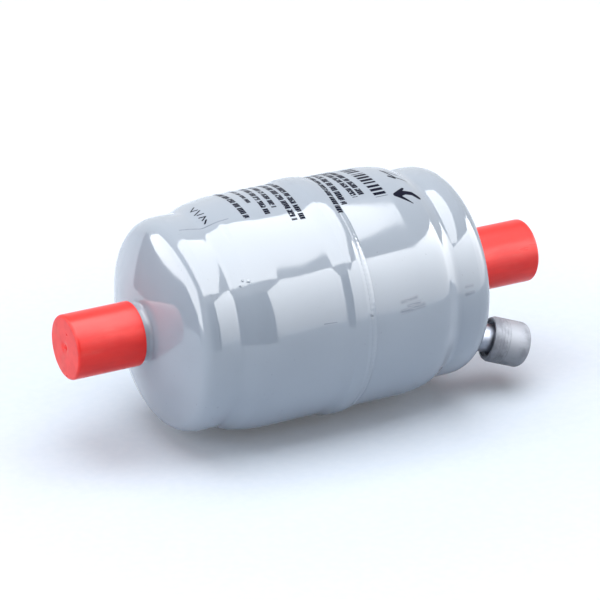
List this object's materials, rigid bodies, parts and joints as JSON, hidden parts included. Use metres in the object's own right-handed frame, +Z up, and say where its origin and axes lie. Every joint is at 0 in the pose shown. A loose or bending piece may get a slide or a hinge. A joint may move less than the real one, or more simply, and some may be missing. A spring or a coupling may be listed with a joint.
{
  "type": "suction line filter drier",
  "caption": "Round steel filter drier on its side, with capped solder fittings at both ends, a welded centre seam and an angled access valve with a metal cap.",
  "frame": {"origin": "centre of the outlet socket's mouth, on the flow axis", "axes": "+X along the flow axis from the outlet to the inlet, against the flow; +Z up with the drier lying on its side; the access valve is at the inlet end, low on the -Y side"},
  "size_m": [0.1689, 0.0782, 0.0782],
  "materials": {
    "shell_enamel": "high-gloss light blue-grey enamel on steel",
    "fitting_copper": "copper-plated steel, satin, painted grey outside the cap",
    "cap_plastic": "soft coral-red moulded polyethylene, satin",
    "plain_steel": "bare cold-rolled steel",
    "screen_brass": "fine woven brass gauze",
    "pad_felt": "polyester felt",
    "core_block": "moulded porous desiccant block",
    "spring_steel": "spring wire",
    "stub_metal": "plated steel stub, enamelled at the foot",
    "valve_brass": "turned brass",
    "seal_ptfe": "PTFE",
    "seal_rubber": "black chloroprene",
    "cap_nickel": "nickel-plated turned brass, satin"
  },
  "bodies": {
    "drier": {"outlet_shell": "shell_enamel", "inlet_shell": "shell_enamel", "seam_weld": "shell_enamel", "outlet_fitting": "fitting_copper", "inlet_fitting": "fitting_copper", "outlet_braze_ring": "shell_enamel", "inlet_braze_ring": "shell_enamel", "outlet_plate": "plain_steel", "outlet_screen": "screen_brass", "filter_pad": "pad_felt", "desiccant_core": "core_block", "core_retainer": "plain_steel", "core_spring": "spring_steel", "valve_stub": "stub_metal", "valve_braze_ring": "shell_enamel", "valve_barrel": "valve_brass", "valve_gasket": "seal_ptfe", "valve_spring": "spring_steel"},
    "outlet_dust_cap": {"outlet_dust_cap": "cap_plastic"},
    "inlet_dust_cap": {"inlet_dust_cap": "cap_plastic"},
    "access_cap_seal": {"access_cap_seal": "seal_rubber"},
    "access_cap": {"access_cap": "cap_nickel"},
    "valve_pin": {"valve_pin": "valve_brass", "valve_pin_seal": "seal_rubber"}
  },
  "joints": [
    {"name": "outlet_dust_cap_pull", "type": "slide", "parent": "drier", "child": "outlet_dust_cap", "axis": [1, 0, 0], "range_m": [-0.06, 0]},
    {"name": "inlet_dust_cap_pull", "type": "slide", "parent": "drier", "child": "inlet_dust_cap", "axis": [1, 0, 0], "range_m": [0, 0.06]},
    {"name": "access_cap_travel", "type": "slide", "parent": "drier", "child": "access_cap_seal", "axis": [0.9205, -0.2422, -0.3066], "range_m": [0, 0.0089]},
    {"name": "access_cap_turn", "type": "hinge", "parent": "access_cap_seal", "child": "access_cap", "pos_m": [0.15341, -0.01917, -0.02427], "axis": [0.9205, -0.2422, -0.3066], "range_deg": [0, 2520]},
    {"name": "valve_pin_press", "type": "slide", "parent": "drier", "child": "valve_pin", "axis": [-0.9205, 0.2422, 0.3066], "range_m": [0, 0.0012], "stiffness_N_per_m": 600, "springref_m": -0.001, "deforming": ["valve_spring"]}
  ],
  "couplings": [
    {"joint": "access_cap_travel", "follows": "access_cap_turn", "m_per_rad": 0.00020213}
  ]
}
